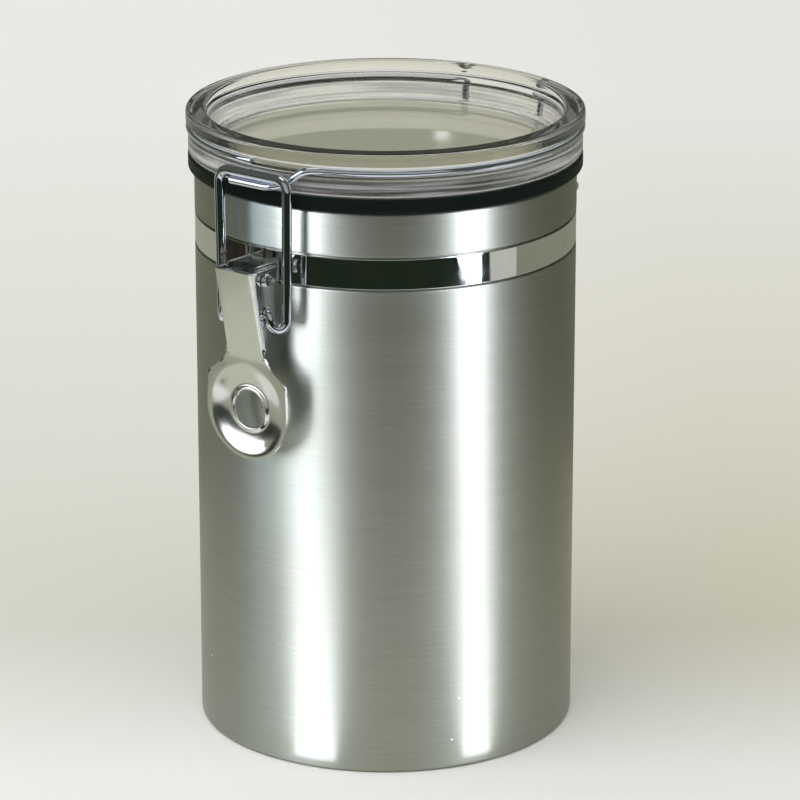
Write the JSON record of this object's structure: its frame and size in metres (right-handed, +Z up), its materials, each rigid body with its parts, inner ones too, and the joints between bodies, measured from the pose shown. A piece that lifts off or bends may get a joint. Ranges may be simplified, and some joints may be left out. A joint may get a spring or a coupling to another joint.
{
  "type": "clip-lid storage canister",
  "caption": "Tall round brushed steel food canister with a clear dished lid on a wire hinge, a black rubber gasket and an over-centre wire bail latch with a pierced thumb lever.",
  "frame": {"origin": "centre of the flat base, on the surface the canister stands on", "axes": "+Z up the can's axis, -Y towards the latch, +Y towards the lid's hinge, +X along both pins"},
  "size_m": [0.127, 0.1506, 0.204],
  "materials": {
    "brushed_can": "fine brushing round the can",
    "polished_steel": "mirror polished",
    "clear_lid": "clear, glossy",
    "black_rubber": "satin"
  },
  "bodies": {
    "canister": {"canister_body": "brushed_can", "neck_band": "polished_steel", "latch_bracket": "polished_steel", "lever_pin": "polished_steel", "hinge_bracket": "polished_steel", "hinge_pin": "polished_steel"},
    "lever": {"lever": "polished_steel"},
    "bail": {"bail": "polished_steel"},
    "lid": {"lid": "clear_lid", "gasket": "black_rubber", "lid_wire": "polished_steel"}
  },
  "joints": [
    {"name": "lid_hinge", "type": "hinge", "parent": "canister", "child": "lid", "pos_m": [0, 0.07, 0.166], "axis": [-1, 0, 0], "range_deg": [0, 195]},
    {"name": "lever_pivot", "type": "hinge", "parent": "canister", "child": "lever", "pos_m": [0, -0.07, 0.1634], "axis": [-1, 0, 0], "range_deg": [0, 100]},
    {"name": "bail_pivot", "type": "hinge", "parent": "lever", "child": "bail", "pos_m": [0, -0.0695, 0.153], "axis": [-1, 0, 0], "range_deg": [-130, 0]}
  ],
  "couplings": [
    {"joint": "bail_pivot", "follows": "lever_pivot", "ratio": -1.3}
  ]
}
